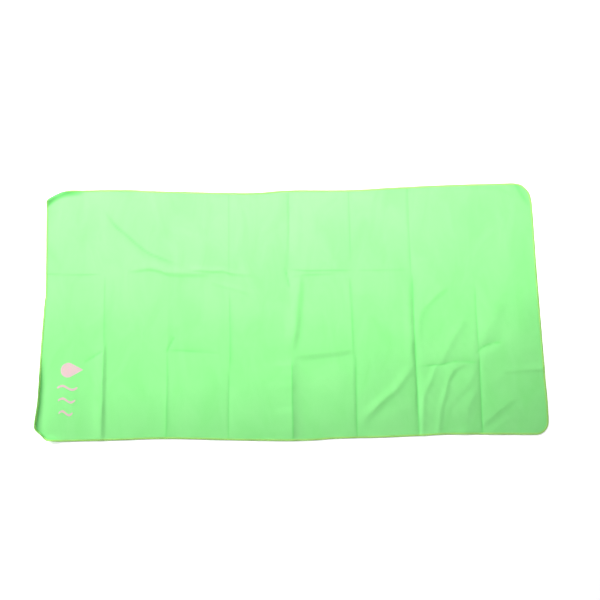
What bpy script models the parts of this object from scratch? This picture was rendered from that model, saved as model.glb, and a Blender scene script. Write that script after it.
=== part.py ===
"""A quick dry towel: one microfibre cloth with rounded corners, overlocked all round.

Metres, +Z up. The towel lies flat: X runs along its length, Y across it, and the origin is
on the surface that it lies on, below its middle. It folds in half along the crease at X = 0,
so every piece that crosses the crease is made in a left and a right half. The left half
stays, and the right half lifts and turns over onto it about the fold axis.
"""

import math

import bmesh
import bpy

# The towel laid flat, over its stitched edges.
TOWEL_LENGTH = 1.400
TOWEL_WIDTH = 0.700
CORNER_RADIUS = 0.036

# The cloth.
CLOTH_THICKNESS = 0.0008
BORDER_THICKNESS = 0.0004
BORDER_SLOPE = 0.003

# The overlock: a needle thread, and a looper thread on each side of the cloth.
SEAM_WIDTH = 0.0045
THREAD_THICKNESS = 0.00035
NEEDLE_THREAD_WIDTH = 0.0006
THREAD_LIFT = 0.00005

# The fold in half. The axis is the middle of the soft loop that the cloth makes there.
FOLD_LOOP_RADIUS = 0.007

# The printed motif: a drop with ripples under it, turned to be read from the towel's short end.
DROP_RADIUS = 0.020
DROP_LENGTH = 0.062
RIPPLE_LENGTH = 0.056
RIPPLE_WIDTH = 0.006
RIPPLE_RISE = 0.0055
RIPPLE_COUNT = 3
RIPPLE_PITCH = 0.034
RIPPLE_SHRINK = 0.009
MOTIF_FROM_END = 0.080
MOTIF_FROM_SIDE = 0.192
DROP_TO_RIPPLES = 0.048
FILM_THICKNESS = 0.0001

# Touching pieces keep this gap.
CLEARANCE = 0.0003

CORNER_STEPS = 14
WAVE_STEPS = 16
DROP_STEPS = 18

# Heights, from the surface that the towel lies on.
LOWER_THREAD_TOP = THREAD_LIFT + THREAD_THICKNESS
BORDER_BOTTOM = LOWER_THREAD_TOP + CLEARANCE
BORDER_TOP = BORDER_BOTTOM + BORDER_THICKNESS
UPPER_THREAD_BOTTOM = BORDER_TOP + CLEARANCE
UPPER_THREAD_TOP = UPPER_THREAD_BOTTOM + THREAD_THICKNESS

# Distances in from the towel's outer edge.
CUT_EDGE = THREAD_THICKNESS + CLEARANCE
LOOPER_INNER = CUT_EDGE + SEAM_WIDTH
NEEDLE_OUTER = LOOPER_INNER + CLEARANCE
NEEDLE_INNER = NEEDLE_OUTER + NEEDLE_THREAD_WIDTH
BORDER_INNER = NEEDLE_INNER + CLEARANCE

LEFT, RIGHT = -1, 1
SIDES = {LEFT: "left", RIGHT: "right"}

GREEN = (0.30, 0.85, 0.30, 1.0)
LIME = (0.55, 0.92, 0.22, 1.0)
PALE_PINK = (0.78, 0.53, 0.57, 1.0)


def clear_scene():
    for old in list(bpy.data.objects):
        bpy.data.objects.remove(old)


def make_material(name, colour, roughness):
    material = bpy.data.materials.new(name)
    material.use_nodes = True
    shader = material.node_tree.nodes["Principled BSDF"]
    shader.inputs["Base Color"].default_value = colour
    shader.inputs["Roughness"].default_value = roughness
    shader.inputs["Metallic"].default_value = 0.0
    return material


def add_object(name, bm, material, body):
    """Makes an object of a finished bmesh, and hangs it on the empty of the body it moves with."""
    bmesh.ops.recalc_face_normals(bm, faces=bm.faces)
    mesh = bpy.data.meshes.new(name)
    bm.to_mesh(mesh)
    bm.free()
    mesh.materials.append(material)
    obj = bpy.data.objects.new(name, mesh)
    bpy.context.scene.collection.objects.link(obj)
    obj.parent = body
    obj.location = -body.location
    return obj


def add_body(name, location):
    """An empty that a half's pieces hang on. The right half's is on the fold axis."""
    empty = bpy.data.objects.new(name, None)
    bpy.context.scene.collection.objects.link(empty)
    empty.location = location
    return empty


def half_outline(inset, side):
    """The half towel's rounded edge, drawn in by inset, from its near end at the crease to its far end."""
    crease = CLEARANCE / 2
    radius = CORNER_RADIUS - inset
    centre_x = TOWEL_LENGTH / 2 - CORNER_RADIUS
    centre_y = TOWEL_WIDTH / 2 - CORNER_RADIUS
    points = [(crease, inset - TOWEL_WIDTH / 2)]
    for quarter, y in ((0, -centre_y), (1, centre_y)):
        for step in range(CORNER_STEPS + 1):
            angle = (quarter + step / CORNER_STEPS - 1) * math.pi / 2
            points.append((centre_x + radius * math.cos(angle), y + radius * math.sin(angle)))
    points.append((crease, TOWEL_WIDTH / 2 - inset))
    return [(side * x, y) for x, y in points]


def loft(profile, side, closed):
    """Runs a cross-section round the half towel's edge. Each point of it is an inset and a height.

    A closed cross-section makes a band. An open one makes a slab: its first and last points
    are the rims of the flat faces below and above.
    """
    bm = bmesh.new()
    rings = []
    for inset, height in profile:
        rings.append([bm.verts.new((x, y, height)) for x, y in half_outline(inset, side)])
    neighbours = list(zip(rings, rings[1:] + rings[:1]))
    if not closed:
        neighbours.pop()
        bm.faces.new(rings[0])
        bm.faces.new(rings[-1])
    for ring, following in neighbours:
        for a, b, c, d in zip(ring, ring[1:], following[1:], following):
            bm.faces.new((a, b, c, d))
    if closed:
        bm.faces.new([ring[0] for ring in rings])
        bm.faces.new([ring[-1] for ring in rings])
    else:
        bm.faces.new([ring[0] for ring in rings] + [ring[-1] for ring in reversed(rings)])
    return bm


def make_cloth(side, body, material):
    """Half the cloth: a thin slab, pressed thinner and lifted along the edge that the seam wraps."""
    slope_inner = BORDER_INNER + BORDER_SLOPE
    profile = [
        (slope_inner, 0.0),
        (BORDER_INNER, BORDER_BOTTOM),
        (CUT_EDGE, BORDER_BOTTOM),
        (CUT_EDGE, BORDER_TOP),
        (BORDER_INNER, BORDER_TOP),
        (slope_inner, CLOTH_THICKNESS),
    ]
    add_object("cloth_" + SIDES[side], loft(profile, side, closed=False), material, body)


def make_upper_looper(side, body, material):
    """Half the looper thread that covers the border's upper side and turns down over the cut edge."""
    lip_bottom = (BORDER_BOTTOM + BORDER_TOP + CLEARANCE) / 2
    profile = [
        (LOOPER_INNER, UPPER_THREAD_BOTTOM),
        (LOOPER_INNER, UPPER_THREAD_TOP),
        (0.0, UPPER_THREAD_TOP),
        (0.0, lip_bottom),
        (THREAD_THICKNESS, lip_bottom),
        (THREAD_THICKNESS, UPPER_THREAD_BOTTOM),
    ]
    name = "upper_looper_thread_" + SIDES[side]
    add_object(name, loft(profile, side, closed=True), material, body)


def make_lower_looper(side, body, material):
    """Half the looper thread under the border, which turns up over the cut edge to meet the upper one."""
    lip_top = (BORDER_BOTTOM + BORDER_TOP - CLEARANCE) / 2
    profile = [
        (LOOPER_INNER, LOWER_THREAD_TOP),
        (LOOPER_INNER, THREAD_LIFT),
        (0.0, THREAD_LIFT),
        (0.0, lip_top),
        (THREAD_THICKNESS, lip_top),
        (THREAD_THICKNESS, LOWER_THREAD_TOP),
    ]
    name = "lower_looper_thread_" + SIDES[side]
    add_object(name, loft(profile, side, closed=True), material, body)


def make_needle_thread(side, body, material):
    """Half the line of straight stitches that holds the inner ends of both loopers."""
    profile = [
        (NEEDLE_INNER, UPPER_THREAD_BOTTOM),
        (NEEDLE_INNER, UPPER_THREAD_TOP),
        (NEEDLE_OUTER, UPPER_THREAD_TOP),
        (NEEDLE_OUTER, UPPER_THREAD_BOTTOM),
    ]
    name = "needle_thread_" + SIDES[side]
    add_object(name, loft(profile, side, closed=True), material, body)


def drop_outline(centre_x, centre_y):
    """A water drop: a round end towards -X, and straight sides that touch it and meet at a tip at +X."""
    tip_reach = DROP_LENGTH - DROP_RADIUS
    touch = math.acos(DROP_RADIUS / tip_reach)
    points = [(centre_x + tip_reach, centre_y)]
    for step in range(DROP_STEPS + 1):
        angle = touch + (2 * math.pi - 2 * touch) * step / DROP_STEPS
        x = centre_x + DROP_RADIUS * math.cos(angle)
        points.append((x, centre_y + DROP_RADIUS * math.sin(angle)))
    return points


def ripple_outline(centre_x, centre_y, length):
    """A wavy stroke that runs along X, one whole wave long, RIPPLE_WIDTH wide."""
    upper = []
    lower = []
    for step in range(WAVE_STEPS + 1):
        share = step / WAVE_STEPS
        x = centre_x + (share - 0.5) * length
        y = centre_y + RIPPLE_RISE * math.sin(2 * math.pi * share)
        upper.append((x, y + RIPPLE_WIDTH / 2))
        lower.append((x, y - RIPPLE_WIDTH / 2))
    return upper + lower[::-1]


def make_print(name, outline, body, material):
    """One island of the print: a film of the given outline, on the cloth's upper side."""
    bm = bmesh.new()
    bottom = CLOTH_THICKNESS + CLEARANCE
    face = bm.faces.new([bm.verts.new((x, y, bottom)) for x, y in outline])
    raised = bmesh.ops.extrude_face_region(bm, geom=[face], use_keep_orig=True)["geom"]
    top = [item for item in raised if isinstance(item, bmesh.types.BMVert)]
    bmesh.ops.translate(bm, verts=top, vec=(0.0, 0.0, FILM_THICKNESS))
    add_object(name, bm, material, body)


def make_motif(body, material):
    """The printed motif, near the left end's near corner."""
    x = MOTIF_FROM_END - TOWEL_LENGTH / 2
    y = MOTIF_FROM_SIDE - TOWEL_WIDTH / 2
    make_print("printed_drop", drop_outline(x, y), body, material)
    for number in range(RIPPLE_COUNT):
        ripple_y = y - DROP_TO_RIPPLES - number * RIPPLE_PITCH
        length = RIPPLE_LENGTH - number * RIPPLE_SHRINK
        outline = ripple_outline(x, ripple_y, length)
        make_print(f"printed_ripple_{number + 1}", outline, body, material)


def main():
    clear_scene()
    cloth = make_material("suede_microfibre", GREEN, 0.9)
    thread = make_material("overlock_thread", LIME, 0.75)
    print_film = make_material("print_film", PALE_PINK, 0.6)
    bodies = {
        LEFT: add_body("left_half", (0.0, 0.0, 0.0)),
        RIGHT: add_body("right_half", (0.0, 0.0, FOLD_LOOP_RADIUS)),
    }
    for side, body in bodies.items():
        make_cloth(side, body, cloth)
        make_upper_looper(side, body, thread)
        make_lower_looper(side, body, thread)
        make_needle_thread(side, body, thread)
    make_motif(bodies[LEFT], print_film)


main()
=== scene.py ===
"""A quick dry towel laid flat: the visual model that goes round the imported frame.

The towel is one cloth. Every visible piece is placed through one surface, LaidCloth, which says
where each point of the flat cloth lies once the towel is unfolded on the floor: its packing
creases, its wrinkles, its curled corners and the slight bow of its edges. The seam's threads and
the print use the same surface, so they follow the cloth wherever it goes.
"""

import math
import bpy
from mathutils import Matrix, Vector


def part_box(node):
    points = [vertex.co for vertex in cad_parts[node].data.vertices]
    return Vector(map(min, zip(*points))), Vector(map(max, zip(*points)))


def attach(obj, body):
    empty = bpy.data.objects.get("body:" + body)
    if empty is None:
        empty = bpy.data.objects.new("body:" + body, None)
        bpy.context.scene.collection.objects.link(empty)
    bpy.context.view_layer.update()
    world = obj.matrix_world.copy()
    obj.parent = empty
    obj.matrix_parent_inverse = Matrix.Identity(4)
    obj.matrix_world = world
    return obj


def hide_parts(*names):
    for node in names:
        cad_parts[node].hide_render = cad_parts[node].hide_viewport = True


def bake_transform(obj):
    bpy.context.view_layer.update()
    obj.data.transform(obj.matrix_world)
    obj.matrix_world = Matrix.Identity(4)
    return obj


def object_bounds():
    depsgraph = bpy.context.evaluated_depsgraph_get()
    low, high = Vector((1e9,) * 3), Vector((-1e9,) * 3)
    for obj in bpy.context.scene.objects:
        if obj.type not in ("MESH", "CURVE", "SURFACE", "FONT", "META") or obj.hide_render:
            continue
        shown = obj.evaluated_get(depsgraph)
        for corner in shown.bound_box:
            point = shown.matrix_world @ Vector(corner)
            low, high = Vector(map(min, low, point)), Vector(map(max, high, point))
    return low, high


bl_info = {
    "name": "Quick Dry Towel",
    "version": (1, 0, 0),
    "blender": (4, 5, 0),
    "location": "3D View > Sidebar > Towel",
    "description": "Lays out a creased microfibre towel with an overlocked edge",
    "category": "Mesh",
}

import bpy
import numpy as np
from mathutils import Matrix, Vector

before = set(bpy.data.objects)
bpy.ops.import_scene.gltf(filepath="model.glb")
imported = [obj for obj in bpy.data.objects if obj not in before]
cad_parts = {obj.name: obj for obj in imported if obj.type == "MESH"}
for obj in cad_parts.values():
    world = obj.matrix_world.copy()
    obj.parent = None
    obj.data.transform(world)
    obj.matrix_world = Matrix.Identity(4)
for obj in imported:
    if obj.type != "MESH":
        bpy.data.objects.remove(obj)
CAD_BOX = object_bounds()

MM = 0.001
LEFT_BODY, RIGHT_BODY = "left_half", "right_half"

# The flat cloth, from the frame: it is cut a thread and a gap inside the towel's outer edge.
HALF_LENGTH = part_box("cloth_right")[1].x
HALF_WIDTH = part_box("cloth_right")[1].y
EDGE_REACH = CAD_BOX[1].x - HALF_LENGTH
CORNER_RADIUS = 36 * MM - EDGE_REACH
SEAM_WIDTH = HALF_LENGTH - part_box("needle_thread_right")[1].x

# How far from the middle the rounded corners start, along the length and across the width.
STRAIGHT_U = HALF_LENGTH - CORNER_RADIUS
STRAIGHT_V = HALF_WIDTH - CORNER_RADIUS

# The packing creases divide the length in eight and the width in three: where each one runs.
CROSS_CREASES = (-0.524, -0.346, -0.174, 0.0, 0.174, 0.3435, 0.519)
NEAR_CREASE, NEAR_CREASE_SLANT = -0.140, -0.055
FAR_CREASE = 0.116

# Every crease and wrinkle: its kind, its height in mm (below zero for a valley), its width in mm
# on the side towards the light and on the other side, and the points of the laid cloth that it
# runs through, in metres from the middle. A fold is sharp and a swell is rounded. Folds also get a
# thin line of darker colour, partly pile pressed flat and partly painted shade. The shaded swell is
# a swell with a wider line of that colour along it, partly pressed pile and mostly painted shade.
FOLD, SWELL, SHADED_SWELL = "fold", "swell", "mark"
RELIEF = {
    "first_cross_near": (SWELL, 2.6, 18, 6.5, [
        (-0.523, -0.05), (-0.523, -0.16), (-0.524, -0.26), (-0.523, -0.42)]),
    "first_cross_middle": (FOLD, 0.6, 8, 5, [(-0.524, 0.12), (-0.523, 0.0), (-0.523, -0.10)]),
    "second_cross_near": (FOLD, 0.8, 10, 4, [
        (-0.346, -0.09), (-0.345, -0.20), (-0.346, -0.30), (-0.348, -0.42)]),
    "second_cross_middle": (SWELL, 0.7, 12, 8, [(-0.345, 0.09), (-0.344, 0.0), (-0.345, -0.11)]),
    "third_cross_near": (FOLD, -0.8, 4.5, 9, [(-0.173, -0.15), (-0.175, -0.26), (-0.177, -0.42)]),
    "third_cross_middle": (FOLD, 0.9, 8, 4, [
        (-0.172, 0.07), (-0.172, -0.02), (-0.171, -0.09), (-0.172, -0.18)]),
    "third_cross_far": (FOLD, -0.3, 4, 6, [(-0.174, 0.42), (-0.174, 0.24), (-0.174, 0.08)]),
    "middle_cross_far": (SWELL, -1.7, 7, 30, [
        (0.001, 0.42), (0.001, 0.25), (-0.003, 0.15), (-0.008, 0.10)]),
    "middle_cross_knot": (FOLD, -1.3, 4, 6, [(-0.017, 0.128), (-0.010, 0.10), (-0.002, 0.062)]),
    "middle_cross_near": (FOLD, 3.4, 45, 14, [(0.0, -0.12), (0.0, -0.20), (0.0, -0.30), (0.001, -0.43)]),
    "fifth_cross_far": (FOLD, -0.5, 4, 6, [(0.170, 0.42), (0.170, 0.30), (0.171, 0.12)]),
    "fifth_cross_middle": (FOLD, 0.95, 14, 5, [
        (0.167, 0.10), (0.168, 0.04), (0.170, -0.04), (0.172, -0.17)]),
    "fifth_cross_near": (FOLD, -1.4, 4, 28, [
        (0.177, -0.11), (0.177, -0.20), (0.176, -0.30), (0.175, -0.42)]),
    "sixth_cross_far": (FOLD, -0.9, 4, 7, [(0.340, 0.42), (0.338, 0.28), (0.340, 0.07)]),
    "sixth_cross": (FOLD, -1.3, 5, 7, [(0.343, 0.11), (0.3435, 0.03), (0.3435, -0.06), (0.3435, -0.16)]),
    "sixth_cross_near": (FOLD, -2.3, 4.5, 7, [
        (0.3435, -0.08), (0.344, -0.16), (0.345, -0.24), (0.346, -0.44)]),
    "sixth_cross_side": (SWELL, 1.9, 11, 8, [
        (0.329, 0.10), (0.330, 0.0), (0.331, -0.10), (0.331, -0.16)]),
    "last_cross_middle": (FOLD, -1.0, 5, 6, [
        (0.519, 0.07), (0.518, 0.0), (0.519, -0.06), (0.520, -0.14)]),
    "last_cross_near": (FOLD, -1.8, 5, 7, [
        (0.521, -0.11), (0.520, -0.20), (0.519, -0.30), (0.517, -0.43)]),
    "near_third": (FOLD, -1.7, 8, 20, [
        (-0.350, -0.105), (-0.30, -0.108), (-0.25, -0.110), (-0.19, -0.116)]),
    "near_fifth": (SWELL, -2.2, 9, 34, [
        (-0.008, -0.142), (0.06, -0.138), (0.12, -0.134), (0.150, -0.129), (0.180, -0.112)]),
    "near_seventh": (FOLD, -1.0, 3.5, 7, [
        (0.346, -0.160), (0.411, -0.158), (0.461, -0.149), (0.530, -0.156)]),
    "near_eighth": (SWELL, 1.0, 14, 6, [
        (0.575, -0.180), (0.61, -0.178), (0.67, -0.175), (0.76, -0.171)]),
    "far_first": (FOLD, 0.7, 8, 4, [(-0.74, 0.119), (-0.62, 0.113), (-0.53, 0.112)]),
    "far_fifth": (FOLD, 1.1, 8, 4, [(-0.010, 0.118), (0.05, 0.113), (0.11, 0.113), (0.185, 0.112)]),
    "far_fifth_twin": (FOLD, 0.8, 6, 3.5, [(0.0, 0.097), (0.06, 0.101), (0.14, 0.104)]),
    "far_sixth": (FOLD, 0.4, 6, 4, [(0.18, 0.112), (0.26, 0.111), (0.34, 0.112)]),
    "middle_ridge": (SWELL, 2.8, 17, 6, [
        (-0.475, 0.120), (-0.43, 0.124), (-0.40, 0.128), (-0.37, 0.122), (-0.345, 0.113), (-0.31, 0.110),
        (-0.26, 0.109), (-0.22, 0.107)]),
    "middle_ridge_tail": (SWELL, 1.9, 8, 4.5, [
        (-0.30, 0.119), (-0.26, 0.121), (-0.22, 0.117), (-0.19, 0.117), (-0.165, 0.109), (-0.14, 0.106),
        (-0.08, 0.104)]),
    "long_diagonal": (SHADED_SWELL, 1.3, 12, 6, [
        (-0.54, 0.31), (-0.50, 0.255), (-0.47, 0.228), (-0.43, 0.192), (-0.40, 0.170), (-0.36, 0.153),
        (-0.30, 0.130)]),
    "short_diagonal": (SWELL, 1.5, 7, 4, [
        (-0.23, 0.088), (-0.185, 0.072), (-0.155, 0.064), (-0.10, 0.045)]),
    "centre_swell_far": (SWELL, 1.3, 20, 9, [
        (0.027, 0.44), (0.025, 0.28), (0.021, 0.20), (0.018, 0.14)]),
    "centre_swell": (SWELL, 3.6, 24, 10, [
        (0.028, 0.115), (0.023, 0.06), (0.017, 0.0), (0.010, -0.06), (-0.004, -0.125)]),
    "diagonal_roll": (SWELL, 1.8, 14, 8, [
        (0.350, -0.130), (0.323, -0.175), (0.301, -0.205), (0.280, -0.230), (0.252, -0.250),
        (0.217, -0.285), (0.18, -0.33)]),
    "round_step": (SWELL, 1.6, 16, 8, [
        (0.465, 0.080), (0.435, 0.060), (0.394, 0.022), (0.367, -0.006), (0.357, -0.035),
        (0.354, -0.071), (0.354, -0.13)]),
    "facet_edge": (SWELL, 1.0, 30, 12, [
        (0.635, 0.095), (0.600, 0.035), (0.583, 0.0), (0.560, -0.040), (0.520, -0.092)]),
    "upper_whisker": (SWELL, 1.0, 10, 8, [
        (0.495, 0.0), (0.478, -0.04), (0.462, -0.066), (0.446, -0.096), (0.430, -0.125), (0.412, -0.155),
        (0.388, -0.185)]),
    "tall_whisker": (SWELL, 1.6, 9, 6, [
        (0.500, -0.148), (0.452, -0.171), (0.432, -0.199), (0.421, -0.239), (0.409, -0.275),
        (0.401, -0.333), (0.398, -0.43)]),
    "left_whisker": (SWELL, 1.3, 8, 6, [
        (0.409, -0.140), (0.390, -0.181), (0.381, -0.207), (0.367, -0.231), (0.360, -0.264),
        (0.356, -0.332), (0.355, -0.43)]),
    "facet_diagonal": (SWELL, 0.8, 10, 6, [
        (0.516, -0.150), (0.487, -0.214), (0.455, -0.246), (0.433, -0.273), (0.415, -0.31)]),
    "lower_facet": (SWELL, 0.9, 12, 8, [
        (0.515, -0.218), (0.497, -0.250), (0.483, -0.276), (0.473, -0.334), (0.47, -0.42)]),
    "corner_roll": (SWELL, 0.9, 10, 7, [
        (0.632, -0.240), (0.598, -0.265), (0.562, -0.290), (0.525, -0.318), (0.50, -0.345)]),
    "corner_tick": (SWELL, 0.7, 6, 5, [
        (0.612, -0.300), (0.580, -0.316), (0.551, -0.337), (0.53, -0.36)]),
    "crease_hook": (FOLD, -1.5, 5, 7, [
        (0.508, -0.130), (0.530, -0.112), (0.555, -0.102), (0.590, -0.098)]),
    "print_tick": (FOLD, -1.4, 4, 5, [(-0.580, -0.138), (-0.55, -0.120), (-0.522, -0.103)]),
    "elbow_tick": (FOLD, -1.6, 4, 5, [(-0.325, -0.066), (-0.336, -0.088), (-0.348, -0.112)]),
    "far_edge_ripple": (SWELL, 1.9, 8, 4, [
        (0.49, 0.352), (0.549, 0.350), (0.60, 0.347), (0.630, 0.334), (0.655, 0.31)]),
}
LIGHT_FROM = (-0.86, 0.50)

# How far each edge lies off a true rectangle, in mm, at places in metres along that edge.
# The long edges' numbers are towards the far side, and the short ends' towards the right.
FAR_EDGE_LIE = [(-0.70, 9), (-0.57, 10), (-0.46, 9), (-0.40, 5), (-0.26, -1), (-0.11, -6), (0.0, 0),
                (0.17, -2), (0.32, 4), (0.46, 8), (0.61, 10), (0.70, 9)]
NEAR_EDGE_LIE = [(-0.70, -1), (-0.50, 0), (-0.34, 2), (-0.13, -6), (0.03, -9), (0.12, -5), (0.24, -4),
                 (0.36, -1), (0.43, 1), (0.65, -3), (0.70, -3)]
LEFT_END_LIE = [(-0.35, -9), (-0.304, -9), (-0.277, -6), (-0.236, -2), (-0.168, 0), (-0.084, 2),
                (0.028, 7), (0.056, 9), (0.186, 6), (0.289, 3), (0.35, 5)]
RIGHT_END_LIE = [(-0.35, 0), (-0.27, 2), (-0.19, 0), (-0.05, -2), (0.09, -4), (0.29, -5), (0.35, -5)]

LAY_HEIGHT = 2.5 * MM
RIM_DROP, RIM_WIDTH = 0.8 * MM, 70 * MM
FLOOR_GAP = 0.25 * MM

# The left end's far corner is folded under, over a crest that runs on an arc across the corner.
TUCK_CENTRE = (-0.622, 0.2290)
TUCK_RADIUS = 0.118
TUCK_CREST = 8.2 * MM
TUCK_BEND = 2.4 * MM


class ClothSettings(bpy.types.PropertyGroup):
    """The cloth's thickness, how strongly it is creased, and its colours."""

    thickness: bpy.props.FloatProperty(
        name="Thickness", description="Thickness of the suede knit", default=0.8 * MM,
        min=0.3 * MM, subtype="DISTANCE", unit="LENGTH")
    border_thickness: bpy.props.FloatProperty(
        name="Border Thickness", description="Thickness where the seam presses the cloth",
        default=0.45 * MM, min=0.2 * MM, subtype="DISTANCE", unit="LENGTH")
    crease_strength: bpy.props.FloatProperty(
        name="Crease Strength", description="Scales every packing crease", default=1.0, min=0.0,
        subtype="FACTOR")
    wrinkle_strength: bpy.props.FloatProperty(
        name="Wrinkle Strength", description="Scales every loose wrinkle", default=1.0, min=0.0,
        subtype="FACTOR")
    mesh_step: bpy.props.FloatProperty(
        name="Mesh Step", description="Widest spacing of the cloth's mesh, between creases",
        default=5.0 * MM, min=2 * MM, subtype="DISTANCE", unit="LENGTH")
    colour: bpy.props.FloatVectorProperty(
        name="Colour", description="Colour of the brushed pile", default=(0.305, 0.90, 0.296),
        min=0.0, max=1.0, subtype="COLOR")
    deep_colour: bpy.props.FloatVectorProperty(
        name="Deep Colour", description="Colour where the pile lies away from the light",
        default=(0.260, 0.87, 0.256), min=0.0, max=1.0, subtype="COLOR")
    # Partly painted shade: this darker green is laid along the creases, partly for pile pressed flat there,
    # and on the curled, tucked and drooped rims as painted shade only.
    wear_and_shade_colour: bpy.props.FloatVectorProperty(
        name="Worn Colour", description="Colour of the pile pressed flat along a crease",
        default=(0.205, 0.86, 0.215), min=0.0, max=1.0, subtype="COLOR")


class SeamSettings(bpy.types.PropertyGroup):
    """The overlock: its stitch length, its threads and their colour."""

    stitch_length: bpy.props.FloatProperty(
        name="Stitch Length", description="Distance from one overlock stitch to the next",
        default=2.9 * MM, min=1 * MM, subtype="DISTANCE", unit="LENGTH")
    looper_width: bpy.props.FloatProperty(
        name="Looper Width", description="Width of the fluffy looper threads, pressed flat",
        default=1.25 * MM, min=0.2 * MM, subtype="DISTANCE", unit="LENGTH")
    looper_thickness: bpy.props.FloatProperty(
        name="Looper Thickness", description="Thickness of the looper threads",
        default=0.5 * MM, min=0.1 * MM, subtype="DISTANCE", unit="LENGTH")
    needle_width: bpy.props.FloatProperty(
        name="Needle Thread Width", description="Width of the needle thread",
        default=0.55 * MM, min=0.1 * MM, subtype="DISTANCE", unit="LENGTH")
    colour: bpy.props.FloatVectorProperty(
        name="Colour", description="Colour of the threads", default=(0.56, 0.93, 0.25),
        min=0.0, max=1.0, subtype="COLOR")
    # Painted shade: the threads turn to this darker green in the grooves between their plies, mixed with
    # random fluff.
    deep_colour: bpy.props.FloatVectorProperty(
        name="Deep Colour", description="Colour between the plies of a thread",
        default=(0.44, 0.88, 0.19), min=0.0, max=1.0, subtype="COLOR")


class PrintSettings(bpy.types.PropertyGroup):
    """The printed film."""

    thickness: bpy.props.FloatProperty(
        name="Film Thickness", description="How far the print stands off the cloth",
        default=0.15 * MM, min=0.02 * MM, subtype="DISTANCE", unit="LENGTH")
    colour: bpy.props.FloatVectorProperty(
        name="Colour", description="Colour of the print", default=(0.80, 0.53, 0.575),
        min=0.0, max=1.0, subtype="COLOR")


class StageSettings(bpy.types.PropertyGroup):
    """The floor, the lights and the camera."""

    floor_colour: bpy.props.FloatVectorProperty(
        name="Floor Colour", description="Colour of the plain floor", default=(0.90, 0.90, 0.90),
        min=0.0, max=1.0, subtype="COLOR")
    floor_glow: bpy.props.FloatProperty(
        name="Floor Glow", description="Light that the floor gives off itself, as a light table does",
        default=0.6, min=0.0)
    surround: bpy.props.FloatProperty(
        name="Surround", description="Strength of the even light from all round", default=0.10, min=0.0)
    side_power: bpy.props.FloatProperty(
        name="Side Power", description="Power of the low softbox beyond the left end",
        default=224.0, min=0.0, unit="POWER")
    strip_power: bpy.props.FloatProperty(
        name="Strip Power", description="Power of the long strip light over the far edge",
        default=7.6, min=0.0, unit="POWER")
    lens: bpy.props.FloatProperty(
        name="Lens", description="Focal length of the camera, in millimetres", default=42.0, min=10.0)
    distance: bpy.props.FloatProperty(
        name="Distance", description="Distance from the camera to the point it looks at",
        default=1.968, min=0.3, subtype="DISTANCE", unit="LENGTH")
    tilt: bpy.props.FloatProperty(
        name="Tilt", description="How far the camera leans off straight down, towards the near edge",
        default=math.radians(8.42), subtype="ANGLE", unit="ROTATION")
    roll: bpy.props.FloatProperty(
        name="Roll", description="How far the camera is turned about its own view",
        default=math.radians(0.95), subtype="ANGLE", unit="ROTATION")


# ------------------------------------------------------------------ the laid cloth's surface


def smooth(share):
    """0 below 0, 1 above 1, and an even S between."""
    t = np.clip(share, 0.0, 1.0)
    return t * t * (3 - 2 * t)


def spline(points, steps=8):
    """Points on a smooth curve through the given ones."""
    p = np.array([points[0], *points, points[-1]], float)
    p[0] = 2 * p[1] - p[2]
    p[-1] = 2 * p[-2] - p[-3]
    t = np.linspace(0, 1, steps, endpoint=False)[:, None]
    spans = []
    for a, b, c, d in zip(p, p[1:], p[2:], p[3:]):
        spans.append(0.5 * (2 * b + (c - a) * t + (2 * a - 5 * b + 4 * c - d) * t ** 2
                            + (3 * b - a - 3 * c + d) * t ** 3))
    return np.vstack([*spans, p[-2:-1]])


def eased(table):
    """A function that reads a table of places in metres and offsets in mm, eased between its rows."""
    curve = spline(table)
    return lambda place: np.interp(place, curve[:, 0], curve[:, 1] * MM)


def beside(line, u, v):
    """For each point, its distance to a line, which side it is on, and its share of the way along."""
    best = np.full(u.shape, 1e9)
    side = np.ones(u.shape)
    share = np.zeros(u.shape)
    count = len(line) - 1
    for number, (a, b) in enumerate(zip(line, line[1:])):
        along = b - a
        length = np.hypot(*along)
        t = np.clip(((u - a[0]) * along[0] + (v - a[1]) * along[1]) / length ** 2, 0, 1)
        du, dv = u - a[0] - t * along[0], v - a[1] - t * along[1]
        gap = np.hypot(du, dv)
        nearer = gap < best
        best = np.where(nearer, gap, best)
        side = np.where(nearer, np.sign(along[0] * dv - along[1] * du), side)
        share = np.where(nearer, (number + t) / count, share)
    return best, side, share


def peak(distance, width, blunt=0.7 * MM):
    """1 on a crease, falling off sharply to each side. Its very tip is rounded."""
    return np.exp(-(np.sqrt(distance ** 2 + blunt ** 2) - blunt) / width)


def ripple(u, v, size, seed):
    """Gentle undulation between about -1 and 1, with features of the given size in metres."""
    total = np.zeros(np.shape(u))
    draw = np.random.default_rng(seed)
    for _ in range(7):
        angle = draw.uniform(0, 2 * math.pi)
        wave = 2 * math.pi / (size * draw.uniform(0.7, 1.9))
        shift = draw.uniform(0, 2 * math.pi)
        total += np.sin((u * math.cos(angle) + v * math.sin(angle)) * wave + shift)
    return total / 3.2


def from_edge(u, v):
    """How far inside the cloth's cut edge each flat point is."""
    a = np.abs(u) - STRAIGHT_U
    b = np.abs(v) - STRAIGHT_V
    corner = CORNER_RADIUS - np.hypot(np.maximum(a, 0), np.maximum(b, 0))
    side = CORNER_RADIUS - np.maximum(a, b)
    return np.where((a > 0) & (b > 0), corner, side)


def outward(u, v):
    """The direction, in the flat cloth, straight out over the nearest edge."""
    a = np.abs(u) - STRAIGHT_U
    b = np.abs(v) - STRAIGHT_V
    corner = (a > 0) & (b > 0)
    a = np.where(corner, a, np.where(a > b, 1.0, 0.0))
    b = np.where(corner, b, 1.0 - np.where(corner, 0.0, a))
    size = np.hypot(a, b)
    return np.sign(u) * a / size, np.sign(v) * b / size


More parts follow.
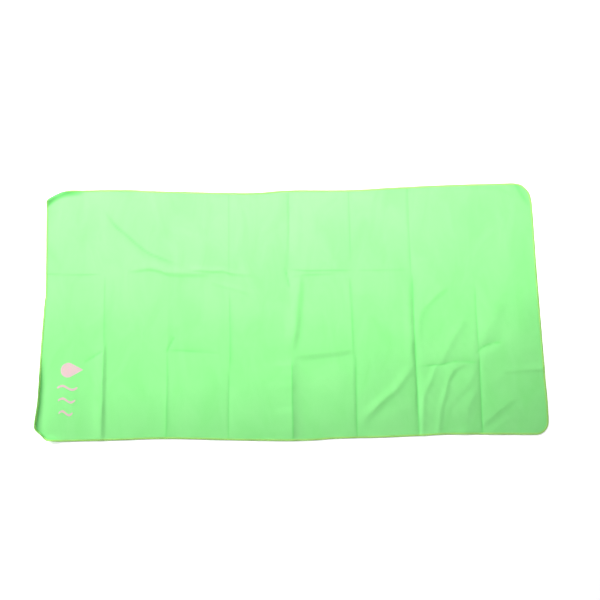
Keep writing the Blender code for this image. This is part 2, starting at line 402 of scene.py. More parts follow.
class LaidCloth:
    """Where every point of the flat cloth lies. u runs along the cloth and v across it, in metres."""

    def __init__(self, settings):
        self.strength = {FOLD: settings.crease_strength, SWELL: settings.wrinkle_strength,
                         SHADED_SWELL: settings.wrinkle_strength}
        self.small = settings.wrinkle_strength
        self.lines = {name: spline(row[-1]) for name, row in RELIEF.items()}
        tables = {"far": FAR_EDGE_LIE, "near": NEAR_EDGE_LIE, "left": LEFT_END_LIE, "right": RIGHT_END_LIE}
        self.lie = {name: eased(table) for name, table in tables.items()}

    def along_lines(self, x, y, profile):
        """The sum of profile(name, gap, lit, share) over the lines that pass near each point."""
        total = np.zeros(x.shape)
        for name, (_, _, lit_width, shade_width, _) in RELIEF.items():
            line = self.lines[name]
            reach = 4 * max(lit_width, shade_width) * MM
            close = ((x > line[:, 0].min() - reach) & (x < line[:, 0].max() + reach)
                     & (y > line[:, 1].min() - reach) & (y < line[:, 1].max() + reach))
            if close.any():
                gap, side, share = beside(line, x[close], y[close])
                run = line[-1] - line[0]
                towards = run[0] * LIGHT_FROM[1] - run[1] * LIGHT_FROM[0]
                total[close] += profile(name, gap, side * towards > 0, share)
        return total

    def line_relief(self, x, y):
        """The creases and wrinkles. Each wavers along its length and fades out at its two ends."""
        def profile(name, gap, lit, share):
            kind, height, lit_width, shade_width, _ = RELIEF[name]
            wide = np.where(lit, lit_width, shade_width) * MM
            fade = smooth(share / 0.22) * smooth((1 - share) / 0.22)
            waver = 1 + 0.16 * np.sin(share * 23 + height * 9) + 0.10 * np.sin(share * 51 + lit_width)
            shape = peak(gap, wide) if kind == FOLD else np.exp(-((gap / wide) ** 2))
            return self.strength[kind] * height * MM * fade * waver * shape
        return self.along_lines(x, y, profile)

    def crease_wear_and_shade(self, x, y):
        """How far the darker crease colour is laid on: along the folds, more on the deeper ones, and wider
        along shaded swells. It stands partly for pile pressed flat and partly for painted shade in the
        creases.
        """
        def profile(name, gap, lit, share):
            kind, height, _, _, _ = RELIEF[name]
            # Painted shade, in part: how strongly and how wide each kind of line gets the darker crease
            # colour.
            depth = {FOLD: min(1.0, 0.35 + abs(height) / 2), SWELL: 0.0, SHADED_SWELL: 1.0}[kind]
            wide = (3.2 if kind == SHADED_SWELL else 1.6) * MM
            return depth * smooth(share / 0.2) * smooth((1 - share) / 0.2) * peak(gap, wide)
        return np.clip(self.along_lines(x, y, profile), 0, 1)

    def rim_shade(self, u, v):
        """Painted shade where the rim curls up, is tucked under or droops: how far the colour turns to the
        darker green there.
        """
        inside = from_edge(u, v)
        past, share = self.past_tuck(u, v)
        # Painted shade: the curl's inner rim, the tuck's ramp and the droop's band each take the darker
        # colour.
        curled = self.curl_share(u, v) * smooth((17 * MM - inside) / (15 * MM))
        tucked = share * smooth((past + 17 * MM) / (11 * MM))
        here, across = self.past_droop(u, v)
        drooped = here * peak(across - 0.009, 0.009)
        return np.clip(curled + tucked + drooped, 0, 1)

    def near_crease(self, u):
        return NEAR_CREASE + NEAR_CREASE_SLANT * u

    def panel_relief(self, u, v):
        """Each panel between the creases swells a little, and no two alike."""
        bounds = (-HALF_LENGTH, *CROSS_CREASES, HALF_LENGTH)
        place = np.interp(u, bounds, range(9))
        near = self.near_crease(u)
        row = np.where(v < near, (v + HALF_WIDTH) / (near + HALF_WIDTH),
                       np.where(v < FAR_CREASE, 1 + (v - near) / (FAR_CREASE - near),
                                2 + (v - FAR_CREASE) / (HALF_WIDTH - FAR_CREASE)))
        panel = np.clip(np.floor(place), 0, 7).astype(int)
        third = np.clip(np.floor(row), 0, 2).astype(int)
        swell = np.random.default_rng(5).uniform(0.1, 0.8, (8, 3))[panel, third]
        dome = np.abs(np.sin(math.pi * place)) ** 0.8 * np.abs(np.sin(math.pi * row)) ** 0.8
        return swell * dome * MM

    def small_relief(self, u, v):
        """The fine, uneven lie of a soft cloth, stronger towards the near right."""
        loose = 0.2 + 1.0 * smooth((u - 1.5 * v + 0.4) / 1.3)
        return (0.35 * ripple(u, v, 0.21, 11) + 0.36 * loose * ripple(u, v, 0.075, 12)
                + 0.15 * loose * ripple(u, v, 0.032, 13)) * MM

    def height(self, u, v, x, y):
        """The cloth's height where flat u, v has come to lie over x, y on the floor."""
        inside = from_edge(u, v)
        curled = self.curl_share(u, v) * smooth((34 * MM - inside) / (16 * MM))
        z = (LAY_HEIGHT - RIM_DROP * smooth((RIM_WIDTH - inside) / RIM_WIDTH) + self.line_relief(x, y)
             + self.small * (self.panel_relief(u, v) + self.small_relief(u, v)))
        z = z + curled * (0.9 * MM - z) * 0.85
        z = z + self.drooped_corner(u, v)
        floor = FLOOR_GAP + 0.4 * MM
        over = z - floor
        return floor + 0.5 * (over + np.sqrt(over ** 2 + (0.5 * MM) ** 2))

    @staticmethod
    def past_droop(u, v):
        """The share of the right end's far corner at each point, and how far out across it that is."""
        here = smooth((v - HALF_WIDTH + 0.085) / 0.05)
        across = (u - HALF_LENGTH + CORNER_RADIUS) * 0.90 + (v - HALF_WIDTH + CORNER_RADIUS) * 0.44
        return here, across

    def drooped_corner(self, u, v):
        """The right end's far corner stands proud a little way in, and drops to its rim."""
        here, across = self.past_droop(u, v)
        rise = smooth((across + 0.030) / 0.030)
        drop = smooth((across - 0.002) / 0.012)
        return here * (1.5 * rise - 4.2 * drop) * MM

    @staticmethod
    def curl_share(u, v):
        """1 where the rim curls up: down the left end from its middle, and round its near corner."""
        return smooth((-0.10 - v) / 0.09) * smooth((-0.625 - u) / 0.035)

    def bow(self, u, v):
        """How far the cloth lies out of square."""
        far = 0.5 + 0.5 * v / HALF_WIDTH
        across = self.lie["near"](u) * (1 - far) + self.lie["far"](u) * far
        ends = (self.lie["left"](v) * np.exp(-np.maximum(u + HALF_LENGTH, 0) / 0.10)
                + self.lie["right"](v) * np.exp(-np.maximum(HALF_LENGTH - u, 0) / 0.10))
        pull = smooth((u - HALF_LENGTH + 0.055) / 0.055) * smooth((v - HALF_WIDTH + 0.065) / 0.065)
        push = smooth((-HALF_LENGTH + 0.045 - u) / 0.045) * smooth((-HALF_WIDTH + 0.045 - v) / 0.045)
        return ends + (11 * push - 6 * pull) * MM, across + (9 * push - 5 * pull) * MM

    def curl(self, u, v, x, y, z):
        """Bends the rim up in an arc where it curls."""
        root, radius = 19 * MM, 32 * MM
        inside = from_edge(u, v)
        length = np.maximum(root - inside, 0)
        tighter = 1 + 0.45 * smooth((-0.29 - v) / 0.03)
        bend = np.maximum(self.curl_share(u, v) * tighter, 1e-6) / radius
        turned = length * bend
        out = np.sin(turned) / bend - length
        du, dv = outward(u, v)
        return x + out * du, y + out * dv, z + (1 - np.cos(turned)) / bend

    @staticmethod
    def past_tuck(u, v):
        """How far past the tuck's crest each flat point is, and the tuck's share there."""
        du, dv = u - TUCK_CENTRE[0], v - TUCK_CENTRE[1]
        share = smooth((-0.578 - u) / 0.050) * smooth((v - 0.22) / 0.04)
        return np.where(du < 0, np.hypot(du, dv), dv) - TUCK_RADIUS, share

    def tuck(self, u, v, x, y, z):
        """Raises the crest across the left end's far corner, and folds what is past it under."""
        du, dv = u - TUCK_CENTRE[0], v - TUCK_CENTRE[1]
        reach = np.hypot(du, dv)
        past, share = self.past_tuck(u, v)
        out_x, out_y = np.where(du < 0, du / reach, 0), np.where(du < 0, dv / reach, 1)
        crest = z + share * (TUCK_CREST - z)
        ramp = np.clip(1 + past / (14 * MM), 0, 1) ** 1.2
        raised = z + (crest - z) * ramp
        turned = np.clip(past / TUCK_BEND, 0, math.pi)
        under = np.maximum(past - math.pi * TUCK_BEND, 0)
        bent_z = crest - TUCK_BEND * (1 - np.cos(turned))
        low = FLOOR_GAP + 0.35 * MM
        bent_z = low + (bent_z - low) * (1 - smooth(under / (9 * MM)))
        bent_out = TUCK_BEND * np.sin(turned) - under - past
        rolled = (past > 0) & (share > 0)
        fold = np.where(rolled, smooth(share / 0.25), 0)
        z = np.where(past < 0, raised, np.where(rolled, raised + fold * (bent_z - raised), z))
        return x + fold * bent_out * out_x, y + fold * bent_out * out_y, z

    def place(self, u, v):
        """The laid place of flat points u, v, on the cloth's middle surface."""
        u, v = np.asarray(u, float), np.asarray(v, float)
        ends, across = self.bow(u, v)
        x, y = u + ends, v + across
        x, y, z = self.curl(u, v, x, y, self.height(u, v, x, y))
        return np.stack(self.tuck(u, v, x, y, z), -1)

    def normal(self, u, v, step=0.2 * MM):
        """The unit normal of the cloth's upper side."""
        along = self.place(u + step, v) - self.place(u - step, v)
        across = self.place(u, v + step) - self.place(u, v - step)
        n = np.cross(along, across)
        return n / np.linalg.norm(n, axis=-1, keepdims=True)

    def raised(self, u, v, offset):
        """The laid place of flat points, moved off the middle surface along its normal."""
        return self.place(u, v) + self.normal(u, v) * np.asarray(offset)[..., None]


# ------------------------------------------------------------------ mesh helpers


def make_mesh(name, points, faces, maps=None, material=None, sharp_degrees=None):
    """An object of a mesh, smooth shaded, with UV maps given per vertex."""
    mesh = bpy.data.meshes.new(name)
    mesh.from_pydata([tuple(p) for p in points], [], faces)
    corners = np.empty(len(mesh.loops), np.int32)
    mesh.loops.foreach_get("vertex_index", corners)
    for map_name, uv in (maps or {}).items():
        layer = mesh.uv_layers.new(name=map_name)
        layer.uv.foreach_set("vector", np.asarray(uv, np.float32)[corners].ravel())
    mesh.shade_smooth()
    if sharp_degrees is not None:
        mesh.set_sharp_from_angle(angle=math.radians(sharp_degrees))
    if material:
        mesh.materials.append(material)
    mesh.validate()
    mesh.update()
    obj = bpy.data.objects.new(name, mesh)
    bpy.context.scene.collection.objects.link(obj)
    return obj


def graded(start, end, widest, first=1.6 * MM, growth=1.4):
    """Places from start to end, close together at both ends, where the creases are."""
    half = abs(end - start) / 2
    steps = []
    step = first
    while sum(steps) + step < half:
        steps.append(step)
        step = min(step * growth, widest)
    reached = np.cumsum([0.0, *steps])
    reached = reached * half / reached[-1]
    shares = np.concatenate([reached, 2 * half - reached[-2::-1]]) / (2 * half)
    return start + (end - start) * shares


def round_corners(u, v):
    """Squares the grid's corners off to arcs, so that its rim follows the cloth's cut edge."""
    side_u, side_v = np.sign(u), np.sign(v)
    a = (np.abs(u) - STRAIGHT_U) / CORNER_RADIUS
    b = (np.abs(v) - STRAIGHT_V) / CORNER_RADIUS
    inside = (a > 0) & (b > 0)
    a, b = np.clip(a, 0, 1), np.clip(b, 0, 1)
    new_u = side_u * (STRAIGHT_U + CORNER_RADIUS * a * np.sqrt(1 - b ** 2 / 2))
    new_v = side_v * (STRAIGHT_V + CORNER_RADIUS * b * np.sqrt(1 - a ** 2 / 2))
    return np.where(inside, new_u, u), np.where(inside, new_v, v)


def cloth_grid(cloth, widest):
    """The flat places of the cloth's mesh, as two grids with a line along every crease."""
    us = [-HALF_LENGTH]
    columns = (-HALF_LENGTH, *CROSS_CREASES, HALF_LENGTH)
    for left, right in zip(columns, columns[1:]):
        us.extend(graded(left, right, widest)[1:])
    vs = [-HALF_WIDTH]
    rows = (-HALF_WIDTH, NEAR_CREASE, FAR_CREASE, HALF_WIDTH)
    for low, high in zip(rows, rows[1:]):
        vs.extend(graded(low, high, widest)[1:])
    u, v = np.meshgrid(np.array(us), np.array(vs), indexing="ij")
    tent = np.interp(v, rows, (0, 1, 0, 0))
    return round_corners(u, v + tent * (cloth.near_crease(u) - NEAR_CREASE))


def seam_path(inset, along):
    """Flat places at distances along the cloth's edge, each moved in from the edge by its inset."""
    straight_u = 2 * STRAIGHT_U
    straight_v = 2 * STRAIGHT_V
    arc = math.pi / 2 * CORNER_RADIUS
    runs = (straight_u, arc, straight_v, arc) * 2
    centres = ((1, -1), (1, 1), (-1, 1), (-1, -1))
    along = np.asarray(along) % sum(runs)
    inset = np.broadcast_to(inset, along.shape)
    u, v = np.zeros(along.shape), np.zeros(along.shape)
    start = 0.0
    for number, run in enumerate(runs):
        here = (along >= start) & (along < start + run + 1e-9)
        t = along[here] - start
        depth = inset[here]
        heading = (number // 2) * math.pi / 2
        if number % 2 == 0:
            before = centres[number // 2 - 1]
            base_u = before[0] * STRAIGHT_U + math.cos(heading) * t
            base_v = before[1] * STRAIGHT_V + math.sin(heading) * t
            outward = heading - math.pi / 2
        else:
            centre = centres[number // 2]
            base_u = np.full(t.shape, centre[0] * STRAIGHT_U)
            base_v = np.full(t.shape, centre[1] * STRAIGHT_V)
            outward = heading - math.pi / 2 + t / CORNER_RADIUS
        u[here] = base_u + (CORNER_RADIUS - depth) * np.cos(outward)
        v[here] = base_v + (CORNER_RADIUS - depth) * np.sin(outward)
        start += run
    return u, v


def seam_length():
    """The length of the cloth's cut edge, all the way round."""
    return 4 * (HALF_LENGTH + HALF_WIDTH - 2 * CORNER_RADIUS) + 2 * math.pi * CORNER_RADIUS


def thread_mesh(name, cloth, inset, lift, along, width, thickness, sides, material):
    """A closed thread of oval section that runs through places along the seam."""
    u, v = seam_path(inset, along)
    centre = cloth.raised(u, v, lift)
    normal = cloth.normal(u, v)
    tangent = np.roll(centre, -1, 0) - np.roll(centre, 1, 0)
    tangent /= np.linalg.norm(tangent, axis=1, keepdims=True)
    across = np.cross(normal, tangent)
    across /= np.linalg.norm(across, axis=1, keepdims=True)
    up = np.cross(tangent, across)
    angles = np.arange(sides) * 2 * math.pi / sides
    ring = (across[:, None] * np.cos(angles)[:, None] * width / 2
            + up[:, None] * np.sin(angles)[:, None] * thickness / 2)
    points = (centre[:, None] + ring).reshape(-1, 3)
    count = len(centre)
    start = np.arange(count) * sides
    following = np.roll(start, -1)
    faces = []
    for side in range(sides):
        other = (side + 1) % sides
        faces.append(np.stack([start + side, start + other, following + other, following + side], 1))
    travelled = np.cumsum(np.linalg.norm(np.diff(centre, axis=0, prepend=centre[:1]), axis=1))
    uv = np.stack([np.repeat(travelled, sides), np.tile(angles / (2 * math.pi), count) * width * 3], 1)
    return make_mesh(name, points, np.vstack(faces).tolist(), {"thread": uv}, material)


# ------------------------------------------------------------------ materials


class Shade:
    """One output of a material's node. Arithmetic on it adds Math nodes."""

    def __init__(self, finish, socket):
        self.finish = finish
        self.socket = socket

    def maths(self, operation, *values):
        made = self.finish.node("ShaderNodeMath", {"operation": operation}, *values)
        return Shade(self.finish, made.outputs[0])

    def __add__(self, other):
        return self.maths("ADD", self, other)

    __radd__ = __add__

    def __sub__(self, other):
        return self.maths("SUBTRACT", self, other)

    def __rsub__(self, other):
        return self.maths("SUBTRACT", other, self)

    def __mul__(self, other):
        return self.maths("MULTIPLY", self, other)

    __rmul__ = __mul__

    def sine(self):
        return self.maths("SINE", self)

    def clamp(self):
        return self.maths("MAXIMUM", self.maths("MINIMUM", self, 1.0), 0.0)


class Finish:
    """A material whose nodes are added by node(), and wired to its shader by shade()."""

    def __init__(self, name):
        self.material = bpy.data.materials.new(name)
        self.material.use_nodes = True
        self.tree = self.material.node_tree
        self.shader = self.tree.nodes["Principled BSDF"]

    def node(self, kind, settings=None, *inputs, **named):
        """Adds a node: first its settings, then the values or links of its sockets."""
        made = self.tree.nodes.new(kind)
        for key, value in (settings or {}).items():
            setattr(made, key, value)
        for place, value in [*enumerate(inputs), *named.items()]:
            socket = made.inputs[place if isinstance(place, int) else place.replace("_", " ")]
            self.feed(socket, value)
        return made

    def feed(self, socket, value):
        if isinstance(value, Shade):
            self.tree.links.new(value.socket, socket)
        else:
            socket.default_value = value

    def out(self, made, name=0):
        return Shade(self, made.outputs[name])

    def map(self, name):
        return self.out(self.node("ShaderNodeUVMap", {"uv_map": name}), "UV")

    def parts(self, vector):
        made = self.node("ShaderNodeSeparateXYZ", None, vector)
        return self.out(made, "X"), self.out(made, "Y")

    def scaled(self, vector, factors):
        made = self.node("ShaderNodeVectorMath", {"operation": "MULTIPLY"}, vector, factors)
        return self.out(made, "Vector")

    def noise(self, vector, scale, detail=2.0, roughness=0.5, distortion=0.0):
        made = self.node("ShaderNodeTexNoise", {"noise_dimensions": "2D"}, Vector=vector, Scale=scale,
                         Detail=detail, Roughness=roughness, Distortion=distortion)
        return self.out(made, 0)

    def mix(self, factor, first, second):
        """The first colour where the factor is 0, and the second where it is 1."""
        made = self.node("ShaderNodeMix", {"data_type": "RGBA"}, factor)
        self.feed(made.inputs[6], first)
        self.feed(made.inputs[7], second)
        return self.out(made, 2)

    def bump(self, height, strength, distance):
        made = self.node("ShaderNodeBump", None, Strength=strength, Distance=distance, Height=height)
        return self.out(made, "Normal")

    def shade(self, **sockets):
        for name, value in sockets.items():
            self.feed(self.shader.inputs[name.replace("_", " ")], value)
        return self.material


def solid(colour):
    """A colour's three numbers with a full alpha."""
    return (*colour, 1.0)


def suede_finish(s):
    """Brushed microfibre: a short pile that lies in soft strokes over a fine knit, with painted shade along
    the creases and on the curled, tucked and drooped rims.
    """
    f = Finish("suede_microfibre")
    uv = f.map("cloth")
    strokes = f.noise(f.scaled(uv, (1.0, 0.45, 1.0)), 16.0, 3.0, 0.55, 0.6)
    patches = f.noise(uv, 4.5, 2.0)
    pile = f.noise(f.scaled(uv, (1.0, 0.6, 1.0)), 950.0, 2.0, 0.6)
    along, across = f.parts(uv)
    wales = (along * (2 * math.pi / (1.1 * MM))).sine()
    courses = (across * (2 * math.pi / (0.9 * MM))).sine()
    lie = ((strokes - 0.5) * 1.5 + (patches - 0.5) * 0.9 + (pile - 0.5) * 0.55 + 0.42).clamp()
    colour = f.mix(lie, solid(s.colour), solid(s.deep_colour))
    # The attribute read here paints shade: it turns the colour darker along the creases, partly for pressed
    # pile, and on the curled, tucked and drooped rims.
    wear_and_shade = f.out(f.node("ShaderNodeAttribute", {"attribute_name": "wear_and_shade"}), "Fac")
    colour = f.mix((wear_and_shade * (0.65 + 0.5 * strokes)).clamp(), colour, solid(s.wear_and_shade_colour))
    relief = pile * 0.8 + wales * courses * 0.18
    return f.shade(
        Base_Color=colour, Roughness=0.86 + 0.12 * pile, Normal=f.bump(relief, 0.35, 0.25 * MM),
        Sheen_Weight=0.25, Sheen_Roughness=0.45, Sheen_Tint=(0.75, 1.0, 0.75, 1.0),
        Specular_IOR_Level=0.2)


def thread_finish(s):
    """Textured polyester thread: soft plies that twist round it, painted darker as shade in the grooves
    between them, with a little sheen.
    """
    f = Finish("overlock_thread")
    uv = f.map("thread")
    along, round_it = f.parts(uv)
    twist = (along * (2 * math.pi / (1.3 * MM)) + round_it * (2 * math.pi / (1.2 * MM))).sine()
    fluff = f.noise(uv, 1800.0, 2.0, 0.6)
    # Painted shade: darker colour in the grooves between the plies, where the twist's bump is low, broken up
    # by the fluff.
    ply_shade = (0.5 + 0.32 * twist + 0.5 * (fluff - 0.5)).clamp()
    colour = f.mix(ply_shade, solid(s.deep_colour), solid(s.colour))
    return f.shade(
        Base_Color=colour, Roughness=0.62 + 0.2 * fluff, Normal=f.bump(twist * 0.5 + fluff, 0.5, 0.15 * MM),
        Sheen_Weight=0.3, Sheen_Roughness=0.4, Specular_IOR_Level=0.35)


KNIT_GREEN = (0.30, 0.85, 0.30)


def print_finish(s):
    """Heat transfer film: satin, a little uneven, with the knit showing through it."""
    f = Finish("print_film")
    uv = f.map("cloth")
    along, across = f.parts(uv)
    knit = (along * (2 * math.pi / (1.1 * MM))).sine() * (across * (2 * math.pi / (0.9 * MM))).sine()
    cloudy = f.noise(uv, 90.0, 3.0)
    fine = f.noise(uv, 700.0, 2.0)
    faded = ((cloudy - 0.5) * 1.4 + (fine - 0.5) * 0.6 + 0.35).clamp()
    pale = tuple(0.80 * c + 0.2 * g for c, g in zip(s.colour, KNIT_GREEN))
    colour = f.mix(faded, solid(s.colour), solid(pale))
    return f.shade(
        Base_Color=colour, Roughness=0.5 + 0.2 * cloudy,
        Normal=f.bump(knit * 0.3 + fine * 0.4, 0.4, 0.12 * MM), Specular_IOR_Level=0.4)


def paper_finish(name, colour, glow):
    """Plain matt paper, lit from behind."""
    f = Finish(name)
    return f.shade(
        Base_Color=solid(colour), Roughness=0.95, Specular_IOR_Level=0.1,
        Emission_Color=(1.0, 1.0, 1.0, 1.0), Emission_Strength=glow)


# ------------------------------------------------------------------ operators


def fold_with_both(obj):
    """The piece crosses the centre fold. Its place is baked into its mesh."""
    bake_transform(obj)


class TOWEL_OT_cloth(bpy.types.Operator):
    """Lay out the cloth, one closed sheet with both its sides"""

    bl_idname = "towel.cloth"
    bl_label = "Lay the Cloth"

    def execute(self, context):
        s = context.scene.towel_cloth
        cloth = LaidCloth(s)
        u, v = cloth_grid(cloth, s.mesh_step)
        edge = smooth((from_edge(u, v) - SEAM_WIDTH) / (3.5 * MM))
        half = (s.border_thickness + (s.thickness - s.border_thickness) * edge) / 2
        middle, normal = cloth.place(u, v), cloth.normal(u, v)
        upper = middle + normal * half[..., None]
        lower = middle - normal * half[..., None]
        columns, rows = u.shape
        number = np.arange(columns * rows).reshape(columns, rows)
        a, b = number[:-1, :-1].ravel(), number[1:, :-1].ravel()
        c, d = number[1:, 1:].ravel(), number[:-1, 1:].ravel()
        below = columns * rows
        rim = np.concatenate([number[:-1, 0], number[-1, :-1], number[:0:-1, -1], number[0, :0:-1]])
        after = np.roll(rim, -1)
        faces = np.vstack([
            np.stack([a, b, c, d], 1),
            np.stack([d, c, b, a], 1) + below,
            np.stack([rim + below, after + below, after, rim], 1),
        ])
        points = np.vstack([upper.reshape(-1, 3), lower.reshape(-1, 3)])
        flat = np.stack([u.ravel(), v.ravel()], 1)
        maps = {"cloth": np.vstack([flat, flat + (0, 2 * HALF_WIDTH)])}
        obj = make_mesh("towel_cloth", points, faces.tolist(), maps, suede_finish(s))
        # Painted shade per vertex: the crease lines, partly pressed pile, and the curled, tucked and drooped
        # rims. The lower side gets half of it.
        wear_and_shade = np.maximum(cloth.crease_wear_and_shade(middle[..., 0], middle[..., 1]), cloth.rim_shade(u, v)).ravel()
        layer = obj.data.attributes.new("wear_and_shade", "FLOAT", "POINT")
        layer.data.foreach_set("value", np.concatenate([wear_and_shade, 0.5 * wear_and_shade]).astype(np.float32))
        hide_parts("cloth_left", "cloth_right")
        fold_with_both(obj)
        return {"FINISHED"}


class TOWEL_OT_overlock(bpy.types.Operator):
    """Stitch the overlock round the edge: both looper threads and the needle thread"""

    bl_idname = "towel.overlock"
    bl_label = "Stitch the Overlock"

    def execute(self, context):
        s = context.scene.towel_seam
        cloth = LaidCloth(context.scene.towel_cloth)
        material = thread_finish(s)
        stitches = round(seam_length() / s.stitch_length)
        length = seam_length() / stitches
        border = context.scene.towel_cloth.border_thickness / 2
        over = border + s.looper_thickness / 2
        # One looper stitch: out from the needle line over the border, round the cut edge, and back.
        shares = np.array([0.0, 0.15, 0.36, 0.5, 0.64, 0.85])
        insets = np.array([SEAM_WIDTH, 0.7 * SEAM_WIDTH, 0.16 * SEAM_WIDTH, -0.55 * EDGE_REACH,
                           0.16 * SEAM_WIDTH, 0.7 * SEAM_WIDTH])
        lifts = np.array([over, over + 0.12 * MM, over + 0.05 * MM, 0.06 * MM,
                          over + 0.05 * MM, over + 0.12 * MM])
        pieces = []
        for name, side, shift in (("upper_looper_stitches", 1, 0.0), ("lower_looper_stitches", -1, 0.5)):
            along = (np.arange(stitches)[:, None] + shares + shift).ravel() * length
            pieces.append(thread_mesh(
                name, cloth, np.tile(insets, stitches), side * np.tile(lifts, stitches), along,
                s.looper_width, s.looper_thickness, 5, material))
        # One needle stitch: up through the cloth, along its upper side, and down again.
        shares = np.array([0.0, 0.16, 0.5, 0.84])
        top = over + s.looper_thickness / 2 + 0.1 * MM
        lifts = np.array([-over - 0.15 * MM, top - 0.1 * MM, top + 0.05 * MM, top - 0.1 * MM])
        along = (np.arange(stitches)[:, None] + shares).ravel() * length
        pieces.append(thread_mesh(
            "needle_stitches", cloth, np.full(along.shape, SEAM_WIDTH + 0.1 * MM),
            np.tile(lifts, stitches), along, s.needle_width, s.needle_width, 5, material))
        nodes = ("upper_looper_thread", "lower_looper_thread", "needle_thread")
        for piece, node in zip(pieces, nodes):
            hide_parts(node + "_left", node + "_right")
            fold_with_both(piece)
        return {"FINISHED"}


class TOWEL_OT_print(bpy.types.Operator):
    """Print the motif: a drop over three ripples, each a thin film that follows the cloth"""

    bl_idname = "towel.print"
    bl_label = "Print the Motif"

    def execute(self, context):
        s = context.scene.towel_print
        cloth = LaidCloth(context.scene.towel_cloth)
        material = print_finish(s)
        base = context.scene.towel_cloth.thickness / 2
        self.film("drop_print", "printed_drop", self.drop(), cloth, base, s.thickness, material)
        for number in (1, 2, 3):
            node = f"printed_ripple_{number}"
            self.film(f"ripple_print_{number}", node, self.wave(node), cloth, base, s.thickness, material)
        return {"FINISHED"}

    @staticmethod
    def drop():
        """Rings of flat places from the drop's middle to its outline, which is the frame's own drop."""
        low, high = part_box("printed_drop")
        radius = (high.y - low.y) / 2
        centre = np.array([low.x + radius, (low.y + high.y) / 2])
        tip = high.x - centre[0]
        touch = math.acos(radius / tip)
        turns = np.linspace(-math.pi, math.pi, 64, endpoint=False)
        reach = np.where(np.abs(turns) > touch, radius, radius / np.cos(touch - np.abs(turns)))
        outline = np.stack([reach * np.cos(turns), reach * np.sin(turns)], 1)
        shares = np.linspace(0.08, 1.0, 9)
        return centre + shares[:, None, None] * outline, True

    @staticmethod
    def wave(node):
        """Rows of flat places along a ripple, from its near side to its far side."""
        low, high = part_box(node)
        stroke = 6 * MM
        rise = (high.y - low.y - stroke) / 2
        shares = np.linspace(0, 1, 41)
        u = low.x + (high.x - low.x) * shares
        middle = (low.y + high.y) / 2 + rise * np.sin(2 * math.pi * shares)
        rows = []
        for side in np.linspace(-0.5, 0.5, 5):
            round_end = np.sqrt(np.clip(1 - (2 * np.abs(shares - 0.5)) ** 26, 0, 1))
            rows.append(np.stack([u, middle + side * stroke * np.maximum(round_end, 0.25)], 1))
        return np.array(rows), False

    @staticmethod
    def film(name, node, shape, cloth, base, thickness, material):
        """A thin closed film over a grid of flat places. The drop's rings close on themselves."""
        flat, rings = shape
        rows, columns, _ = flat.shape
        u, v = flat[..., 0].ravel(), flat[..., 1].ravel()
        above = cloth.raised(u, v, np.full(u.shape, base + thickness))
        under = cloth.raised(u, v, np.full(u.shape, base - 0.1 * MM))
        number = np.arange(rows * columns).reshape(rows, columns)
        below = rows * columns
        if rings:
            number = np.hstack([number, number[:, :1]])
        a, b = number[:-1, :-1].ravel(), number[:-1, 1:].ravel()
        c, d = number[1:, 1:].ravel(), number[1:, :-1].ravel()
        faces = [np.stack([d, c, b, a], 1) if rings else np.stack([a, b, c, d], 1)]
        faces.append(faces[0][:, ::-1] + below)
        if rings:
            rim = number[-1, :-1]
            hub = number[0, :-1].tolist()
            fans = [hub, [n + below for n in reversed(hub)]]
        else:
            rim = np.concatenate([number[0, :-1], number[:-1, -1], number[-1, :0:-1], number[:0:-1, 0]])
            fans = []
        after = np.roll(rim, -1)
        faces.append(np.stack([rim + below, after + below, after, rim], 1))
        listed = np.vstack(faces).tolist() + fans
        maps = {"cloth": np.tile(np.stack([u, v], 1), (2, 1))}
        obj = make_mesh(name, np.vstack([above, under]), listed, maps, material, 40)
        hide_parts(node)
        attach(obj, LEFT_BODY)
        return obj


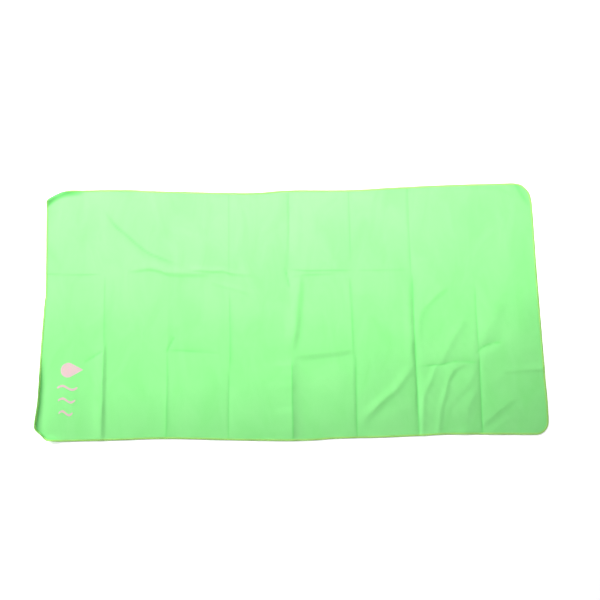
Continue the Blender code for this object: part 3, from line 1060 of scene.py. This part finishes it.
class TOWEL_OT_stage(bpy.types.Operator):
    """Set the stage: a plain floor and backdrop, two soft lights and the camera"""

    bl_idname = "towel.stage"
    bl_label = "Set the Stage"

    def execute(self, context):
        s = context.scene.towel_stage
        self.floor(s)
        self.backdrop(s)
        self.lights(context, s)
        self.camera(context, s)
        context.scene.view_settings.view_transform = "Standard"
        context.scene.view_settings.look = "None"
        return {"FINISHED"}

    @staticmethod
    def floor(s):
        reach, below = 30.0, -0.05 * MM
        corners = [(x * reach, y * reach, below) for x, y in ((-1, -1), (1, -1), (1, 1), (-1, 1))]
        paper = paper_finish("floor_paper", s.floor_colour, s.floor_glow)
        make_mesh("floor", corners, [(0, 1, 2, 3)], None, paper)

    @staticmethod
    def backdrop(s):
        """A wall all round, far off and as pale as the floor beside it. It only shows, and lights nothing."""
        radius, foot, top, sides = 29.0, -0.2, 40.0, 64
        turns = np.linspace(0, 2 * math.pi, sides, endpoint=False)
        ring = np.stack([radius * np.cos(turns), radius * np.sin(turns)], 1)
        low = np.hstack([ring, np.full((sides, 1), foot)])
        high = np.hstack([ring, np.full((sides, 1), top)])
        start = np.arange(sides)
        after = np.roll(start, -1)
        faces = np.stack([start, start + sides, after + sides, after], 1).tolist()
        glow = s.floor_glow + s.floor_colour[0] * s.surround
        paper = paper_finish("backdrop_paper", (0.0, 0.0, 0.0), glow)
        wall = make_mesh("backdrop", np.vstack([low, high]), faces, None, paper)
        wall.visible_diffuse = False
        wall.visible_glossy = False
        wall.visible_shadow = False

    @staticmethod
    def lights(context, s):
        world = bpy.data.worlds.new("studio")
        world.use_nodes = True
        background = world.node_tree.nodes["Background"]
        background.inputs["Color"].default_value = (1.0, 1.0, 1.0, 1.0)
        background.inputs["Strength"].default_value = s.surround
        context.scene.world = world
        softboxes = (
            ("side_softbox", s.side_power, 1.0, 0.8, 180, (-3.6, 1.6, 1.6), (0.0, -0.1, 0.0)),
            ("strip_softbox", s.strip_power, 2.0, 0.3, 70, (0.1, 1.0, 1.2), (0.1, 0.25, 0.0)),
        )
        for name, power, width, depth, spread, place, aim in softboxes:
            light = bpy.data.lights.new(name, "AREA")
            light.shape = "RECTANGLE"
            light.size, light.size_y = width, depth
            light.spread = math.radians(spread)
            light.energy = power
            obj = bpy.data.objects.new(name, light)
            obj.location = place
            facing = Vector(aim) - obj.location
            obj.rotation_euler = facing.to_track_quat("-Z", "Y").to_euler()
            obj.visible_camera = False
            context.scene.collection.objects.link(obj)

    @staticmethod
    def camera(context, s):
        data = bpy.data.cameras.new("camera")
        data.lens = s.lens
        data.sensor_width = 36.0
        data.clip_start = 0.05
        obj = bpy.data.objects.new("camera", data)
        context.scene.collection.objects.link(obj)
        back = Vector((0, -math.sin(s.tilt), math.cos(s.tilt)))
        right = Vector((1, 0, 0))
        up = back.cross(right)
        turned_right = right * math.cos(s.roll) - up * math.sin(s.roll)
        turned_up = right * math.sin(s.roll) + up * math.cos(s.roll)
        aim = Vector((0.0256, 0.0302, 0.0))
        axes = Matrix((turned_right, turned_up, back)).transposed().to_4x4()
        obj.matrix_world = Matrix.Translation(aim + back * s.distance) @ axes
        context.scene.camera = obj


class TOWEL_PT_panel(bpy.types.Panel):
    """The towel's pieces, in the order they are made"""

    bl_idname = "TOWEL_PT_panel"
    bl_label = "Quick Dry Towel"
    bl_space_type = "VIEW_3D"
    bl_region_type = "UI"
    bl_category = "Towel"

    def draw(self, context):
        for group, operator in STEPS:
            box = self.layout.box()
            settings = getattr(context.scene, group)
            for name in settings.__annotations__:
                box.prop(settings, name)
            box.operator(operator)


STEPS = (
    ("towel_cloth", "towel.cloth"),
    ("towel_seam", "towel.overlock"),
    ("towel_print", "towel.print"),
    ("towel_stage", "towel.stage"),
)
GROUPS = {
    "towel_cloth": ClothSettings,
    "towel_seam": SeamSettings,
    "towel_print": PrintSettings,
    "towel_stage": StageSettings,
}
CLASSES = (
    *GROUPS.values(), TOWEL_OT_cloth, TOWEL_OT_overlock, TOWEL_OT_print, TOWEL_OT_stage, TOWEL_PT_panel,
)


def register():
    for made in CLASSES:
        bpy.utils.register_class(made)
    for name, group in GROUPS.items():
        setattr(bpy.types.Scene, name, bpy.props.PointerProperty(type=group))


def unregister():
    for name in GROUPS:
        delattr(bpy.types.Scene, name)
    for made in reversed(CLASSES):
        bpy.utils.unregister_class(made)


def main():
    register()
    bpy.ops.towel.cloth()
    bpy.ops.towel.overlock()
    bpy.ops.towel.print()
    bpy.ops.towel.stage()


if __name__ == "__main__":
    main()
